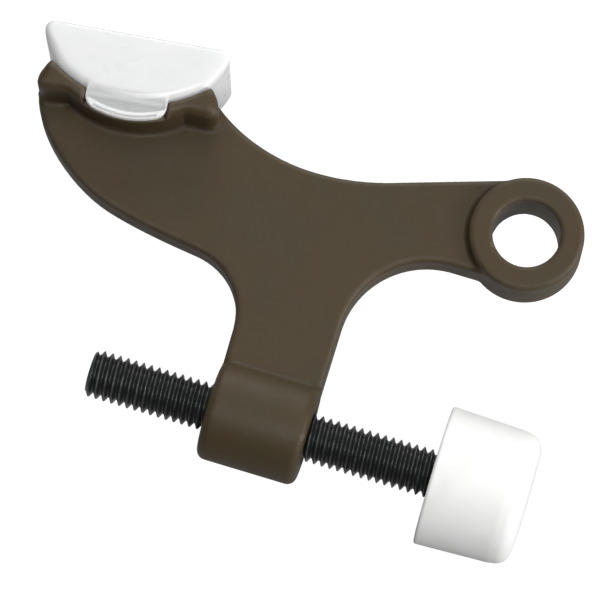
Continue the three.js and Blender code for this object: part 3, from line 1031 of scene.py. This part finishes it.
@dataclass
class SoftPad:
    """Moulded vinyl pad, D-shaped in section, with a tab down through each notch of the saddle."""

    seat_gap: float = 0.05  # between pad and dish
    half_depth: float = 8.5
    top: float = 8.99
    foot_x: float = 9.35
    top_edge: float = 0.55
    low_edge: float = 1.3
    edge_fade: Pair = (5.5, 8.6)  # height between low edge and top edge
    tab_half: float = 5.08
    tab_outer: float = 8.33
    tab_sink: float = 0.6  # how far the tab's face leans in higher up
    sink_fade: Pair = (1.8, 4.0)
    tab_inner: float = 7.3
    tab_low: float = -1.7  # foot of the tab at its middle
    tab_corner: float = -0.55  # foot of the tab at its sides
    tab_round: float = 1.2
    tab_root: float = 6.0  # top of the tab, inside the body
    tab_edge: float = 0.16
    tab_ease: float = 0.12
    slot_rise: float = 0.32  # slot's middle over the foot
    slot_half: float = 0.05
    slot_round: float = 0.08
    slot_ease: float = 0.08
    slot_reach: float = 3.9
    bead: float = 0.78  # height left proud over the foot
    slot_depth: float = 0.45
    face_recess: float = 0.16
    face_fade: Pair = (0.1, 1.3)
    rim: float = 0.16  # width left proud at the tab's sides
    along_grid: tuple[Pair, ...] = ((-11.8, 0), (11.8, 0.18))
    off_grid: tuple[Pair, ...] = ((-1.95, 0), (0.6, 0.07), (2.8, 0.12), (9.3, 0.2))
    z_grid: tuple[Pair, ...] = ((-8.8, 0), (-6.9, 0.1), (6.9, 0.35), (8.8, 0.1))
    saddle: SaddleFrame = SaddleFrame()
    finish: MilkyVinyl = MilkyVinyl()

    def section_outline(self) -> Array:
        """Section of the pad: flat face, rounded shoulders, underside bowed to lie in the dish.

        Returns:
            Its points in the saddle's own axes.
        """
        radius = self.saddle.dish_radius - self.seat_gap
        centre = self.saddle.dish_centre()
        angle = math.asin(self.foot_x / radius)
        foot_y = centre - radius * math.cos(angle)
        down = -math.pi / 2
        outline = Outline((-self.foot_x, foot_y)).arc((0, centre), radius, down - angle, down + angle)
        outline.curve((10.5, 5.2), (11.2, 6.3), (11.5, 7.5))
        outline.curve((11.7, 8.3), (11.2, 9), (10.3, self.top))
        outline.line(-10.3, self.top).curve((-11.2, 9), (-11.7, 8.3), (-11.5, 7.5))
        return outline.curve((-11.2, 6.3), (-10.5, 5.2), (-self.foot_x, foot_y)).points()

    def __post_init__(self) -> None:
        """Works the section out once."""
        self.section = self.section_outline()

    def shape(self, along: Array, off: Array, z: Array) -> Array:
        """Field of the pad in the saddle's own axes.

        The body is a rounded slab whose edge radius grows from the striking face downwards. Each
        tab is a thin rounded box with a bowed lower end. A slot runs along that end and leaves
        a lip under it, and the tab's face is set back inside a rim.

        Args:
            along: distance along the saddle's chord.
            off: distance off its plate.
            z: height.

        Returns:
            The field, negative inside.
        """
        depth = np.abs(z)
        edge = self.low_edge + (self.top_edge - self.low_edge) * smooth_step(*self.edge_fade, off)
        flat = outline_distance(along, off, self.section)
        body = rounded_slab(flat, depth, self.half_depth, edge)

        bow = self.tab_low + (self.tab_corner - self.tab_low) * (along / self.tab_half) ** 2
        sides = blended_cut(np.abs(along) - self.tab_half, off - bow, self.tab_round)
        sides = np.maximum(sides, off - self.tab_root)
        outer = self.tab_outer - self.tab_sink * smooth_step(*self.sink_fade, off)
        middle, half = (outer + self.tab_inner) / 2, (outer - self.tab_inner) / 2
        tab = rounded_slab(sides, np.abs(depth - middle), half, self.tab_edge)
        pad = blended_union(body, tab, self.tab_ease)

        inner = smooth_step(self.rim, 2 * self.rim, -sides) * (1 - smooth_step(*self.face_fade, off))
        inner = inner * smooth_step(self.bead, self.bead + self.rim, off - bow)
        front = smooth_step(self.tab_inner, self.tab_outer, depth)
        pad = pad + self.face_recess * inner * front
        reach = np.maximum(np.abs(along) - self.slot_reach, 0)
        above = off - bow - self.slot_rise
        slot = np.hypot(np.maximum(np.abs(above) - self.slot_half, 0), reach)
        slot = np.maximum(slot - self.slot_round, self.tab_outer - self.slot_depth - depth)
        return blended_cut(pad, slot, self.slot_ease)

    def build(self) -> bpy.types.Object:
        """Makes the pad in the saddle's axes, on a grid that is finest at the tabs, and turns it home.

        Returns:
            The pad's object.
        """
        lines = [ruled(*self.along_grid), ruled(*self.off_grid), ruled(*self.z_grid)]
        surface = level_surface(self.shape, lines)
        placed = Surface(self.saddle.to_part(surface.points), surface.quads)
        piece = placed.to_object("milky_vinyl_pad")
        place_piece(piece, Body.ARM, "soft_pad", self.finish.material())
        return piece


@dataclass
class BumperScrew:
    """Black M6 x 1 screw, whose flat round head is buried in the rubber bumper."""

    axis_y: float = SCREW_AXIS_Y
    start: float = -46.4
    thread_end: float = -1.2
    pitch: float = 1.0
    crest_radius: float = 3.0
    root_radius: float = 2.39
    crest_flat: float = 0.12
    root_flat: float = 0.2
    thread_ease: float = 0.12
    end_radius: float = 2.5
    end_ring: float = 1.4  # ring half way out on the flat end
    end_ease: float = 0.08
    shank_radius: float = 2.7
    shank_step: float = 0.3
    head_radius: float = 6.0
    head_start: float = 1.2
    head_end: float = 4.4
    head_edge: float = 0.35
    around: int = 72
    rows_per_pitch: int = 14
    finish: BlackOxideSteel = BlackOxideSteel()

    def thread_radii(self, stations: Array) -> Array:
        """Radius of the thread at each station and angle.

        The phase is the station less the angle's share of a pitch. Distance from the crest in
        that phase gives the radius: flat crest, straight flank, flat root, with the corners
        eased. The start is turned down by a cone at 45 degrees.

        Args:
            stations: x of each row.

        Returns:
            Radii, one row for each station and one column for each angle.
        """
        turn = np.arange(self.around) / self.around
        phase = (stations[:, None] - self.start) / self.pitch - turn
        from_crest = np.abs(phase - np.round(phase)) * self.pitch
        flank = self.pitch / 2 - (self.crest_flat + self.root_flat) / 2
        slope = (self.crest_radius - self.root_radius) / flank
        fall = slope * (from_crest - self.crest_flat / 2)
        depth = self.crest_radius - self.root_radius
        eased = blended_union(np.maximum(fall, 0), np.full_like(fall, depth), self.thread_ease)
        radii = self.crest_radius - np.maximum(eased, 0)
        cone = self.end_radius + (stations - self.start)[:, None] * np.ones_like(turn)
        return blended_union(radii, cone, self.end_ease)

    def build(self) -> bpy.types.Object:
        """Makes the screw: flat end, thread, plain shank and the head's two rounded corners.

        Returns:
            The screw's object.
        """
        count = round((self.thread_end - self.start) / self.pitch) * self.rows_per_pitch
        threaded = np.linspace(self.start, self.thread_end, count + 1)
        corner = np.linspace(0, math.pi / 2, 4)
        rise = self.head_edge * (1 - np.cos(corner))
        run = self.head_edge * np.sin(corner)
        stations = np.concatenate((
            [self.start, self.start], threaded, [self.thread_end + self.shank_step, self.head_start],
            self.head_start + rise, self.head_end - rise[::-1], [self.head_end, self.head_end],
        ))
        plain = np.concatenate((
            [self.shank_radius, self.shank_radius],
            self.head_radius - self.head_edge + run, self.head_radius - self.head_edge + run[::-1],
            [self.head_radius / 2, POLE_RADIUS],
        ))
        ones = np.ones(self.around)
        end_face = np.outer([POLE_RADIUS, self.end_ring], ones)
        radii = np.vstack((end_face, self.thread_radii(threaded), np.outer(plain, ones)))
        piece = turned_surface(stations, radii, self.axis_y).to_object("black_bumper_screw")
        place_piece(piece, Body.SCREW, "bumper_screw", self.finish.material())
        return piece


@dataclass
class RubberBumper:
    """White rubber bumper: a thick cup, slightly tapered, moulded over the screw's head."""

    axis_y: float = SCREW_AXIS_Y
    back: float = -2.5
    front: float = 9.6
    back_radius: float = 8.75
    front_radius: float = 8.3
    back_edge: float = 0.4
    front_edge: float = 2.1
    crown: float = 0.18  # rise of the striking face
    throat: float = 3.12
    throat_edge: float = 0.35
    cavity_radius: float = 6.3
    cavity_back: float = 0.9
    cavity_front: float = 4.7
    cavity_chamfer: float = 0.2
    corner_points: int = 9
    wall_points: int = 24
    crown_points: int = 12
    around: int = 144
    finish: WhiteRubber = WhiteRubber()

    def profile(self) -> Array:
        """Half section of the cup, from the cavity's front wall round to the striking face.

        The cavity and throat are straight walls with chamfered corners. The outer wall tapers
        evenly, the throat's lip and the wall's two corners are quarter circles, and the striking
        face is crowned by a parabola.

        Returns:
            Station and radius of each point.
        """
        quarter = np.linspace(0, math.pi / 2, self.corner_points)
        chamfer = self.cavity_chamfer
        inner = [
            (self.cavity_front, POLE_RADIUS),
            (self.cavity_front, self.cavity_radius - chamfer),
            (self.cavity_front - chamfer, self.cavity_radius),
            (self.cavity_back + chamfer, self.cavity_radius),
            (self.cavity_back, self.cavity_radius - chamfer),
            (self.cavity_back, self.throat + chamfer),
            (self.cavity_back - chamfer, self.throat),
        ]
        lip = np.column_stack((
            self.back + self.throat_edge * (1 - np.sin(quarter)),
            self.throat + self.throat_edge * (1 - np.cos(quarter)),
        ))
        heel = np.column_stack((
            self.back + self.back_edge * (1 - np.cos(quarter)),
            self.back_radius - self.back_edge * (1 - np.sin(quarter)),
        ))
        face = self.front - self.crown
        station = np.linspace(self.back + self.back_edge, face - self.front_edge, self.wall_points)[1:-1]
        share = (station - self.back) / (face - self.back)
        taper = self.front_radius - self.back_radius
        wall = np.column_stack((station, self.back_radius + taper * share))
        nose_radius = self.front_radius - self.front_edge
        nose = np.column_stack((
            face - self.front_edge * (1 - np.sin(quarter)),
            nose_radius + self.front_edge * np.cos(quarter),
        ))
        radius = np.linspace(nose_radius, POLE_RADIUS, self.crown_points)[1:]
        crown = np.column_stack((face + self.crown * (1 - (radius / nose_radius) ** 2), radius))
        return np.vstack((inner, lip, heel, wall, nose, crown))

    def build(self) -> bpy.types.Object:
        """Makes the bumper by turning its half section about the screw's axis.

        Returns:
            The bumper's object.
        """
        profile = self.profile()
        radii = np.outer(profile[:, 1], np.ones(self.around))
        surface = turned_surface(profile[:, 0], radii, self.axis_y)
        piece = surface.to_object("white_rubber_bumper")
        place_piece(piece, Body.BUMPER, "rubber_bumper", self.finish.material())
        return piece


# ---------------------------------------------------------------- studio


@dataclass(frozen=True)
class SoftLight:
    """A square soft light: name, power in watts, side and place in millimetres."""

    name: str
    power: float
    side: float
    place: Triple

    def hang(self, target: Triple) -> None:
        """Hangs the light and aims it.

        Args:
            target: the point that it shines at, in millimetres.
        """
        data = bpy.data.lights.new(self.name, "AREA")
        data.shape = "SQUARE"
        data.size = self.side * MM
        data.energy = self.power
        lamp = bpy.data.objects.new(self.name, data)
        lamp.location = Vector(self.place) * MM
        aim = Vector(self.place) - Vector(target)
        lamp.rotation_euler = aim.to_track_quat("Z", "Y").to_euler()
        bpy.context.scene.collection.objects.link(lamp)


@dataclass
class Studio:
    """Plain white floor, soft lights above, behind and to the right, and the camera."""

    target: Triple = (-24.44, -15.33, 0.0)
    distance: float = 600.0
    azimuth: float = math.radians(16.95)
    elevation: float = math.radians(77.6)
    lens: float = 292.05
    sensor: float = 36.0
    clip: Pair = (0.01, 20.0)
    floor_half: float = 3000.0
    floor_tone: Triple = (0.19, 0.19, 0.19)
    floor_fleck: Triple = (0.21, 0.21, 0.21)
    floor_grain: Grain = Grain(60.0, 2)
    floor_roughness: float = 0.9
    floor_glow: float = 0.93
    floor_gleam: float = 0.33
    soft_lights: tuple[SoftLight, ...] = (
        SoftLight("overhead_light", 3.6, 350.0, (20.0, -220.0, 790.0)),
        SoftLight("slanting_light", 1.25, 400.0, (-60.0, 370.0, 710.0)),
        SoftLight("back_light", 2.75, 400.0, (-150.0, 640.0, 260.0)),
        SoftLight("side_light", 4.0, 400.0, (620.0, -60.0, 220.0)),
    )
    ambient: float = 0.05
    backdrop: float = 1.0

    def camera(self) -> None:
        """Puts the camera on its azimuth and elevation round the target, upright."""
        flat, up = math.cos(self.elevation), math.sin(self.elevation)
        back = Vector((math.sin(self.azimuth) * flat, -math.cos(self.azimuth) * flat, up))
        data = bpy.data.cameras.new("camera")
        data.lens = self.lens
        data.sensor_width = self.sensor
        data.clip_start, data.clip_end = self.clip
        camera = bpy.data.objects.new("camera", data)
        camera.location = (Vector(self.target) + back * self.distance) * MM
        camera.rotation_euler = back.to_track_quat("Z", "Y").to_euler()
        bpy.context.scene.collection.objects.link(camera)
        bpy.context.scene.camera = camera

    def lights(self) -> None:
        """Hangs the soft lights, and sets the room's even light, its white backdrop and the view."""
        for light in self.soft_lights:
            light.hang(self.target)
        world = bpy.data.worlds.new("room")
        world.use_nodes = True
        background = world.node_tree.nodes["Background"]
        background.inputs["Color"].default_value = WHITE
        ray = world.node_tree.nodes.new("ShaderNodeLightPath")
        strength = world.node_tree.nodes.new("ShaderNodeMapRange")
        strength.inputs["To Min"].default_value = self.ambient
        strength.inputs["To Max"].default_value = self.backdrop
        world.node_tree.links.new(ray.outputs["Is Camera Ray"], strength.inputs["Value"])
        world.node_tree.links.new(strength.outputs["Result"], background.inputs["Strength"])
        bpy.context.scene.world = world
        bpy.context.scene.view_settings.view_transform = "Standard"

    def floor(self, height: float) -> None:
        """Lays the floor, paper that glows white to the camera and fainter in reflections.

        Args:
            height: z of the floor, in metres.
        """
        half = self.floor_half * MM
        signs = ((-1, -1), (1, -1), (1, 1), (-1, 1))
        corners = [(x * half, y * half, height) for x, y in signs]
        mesh = bpy.data.meshes.new("floor")
        mesh.from_pydata(corners, [], [(0, 1, 2, 3)])
        floor = bpy.data.objects.new("floor", mesh)
        recipe = Recipe("floor_paper")
        tone = recipe.mix(recipe.noise(self.floor_grain), self.floor_tone, self.floor_fleck)
        ray = recipe.tree.nodes.new("ShaderNodeLightPath").outputs
        glow = recipe.math("ADD", recipe.math("MULTIPLY", ray["Is Camera Ray"], self.floor_glow),
                           recipe.math("MULTIPLY", ray["Is Glossy Ray"], self.floor_gleam))
        mesh.materials.append(recipe.shade(
            Base_Color=tone, Roughness=self.floor_roughness,
            Emission_Color=WHITE, Emission_Strength=glow,
        ))
        bpy.context.scene.collection.objects.link(floor)
        floor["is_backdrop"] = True

    def build(self, height: float) -> None:
        """Sets up camera, lights and floor.

        Args:
            height: z of the floor, in metres.
        """
        self.camera()
        self.lights()
        self.floor(height)


def main() -> None:
    cad_box = [list(corner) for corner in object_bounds()]
    Studio().build(cad_box[0][2])
    for maker in (ArmCasting(), SoftPad(), BumperScrew(), RubberBumper()):
        maker.build()
    bpy.context.view_layer.update()


if __name__ == "__main__":
    logging.basicConfig(level=logging.INFO, format="%(name)s: %(message)s")
    main()
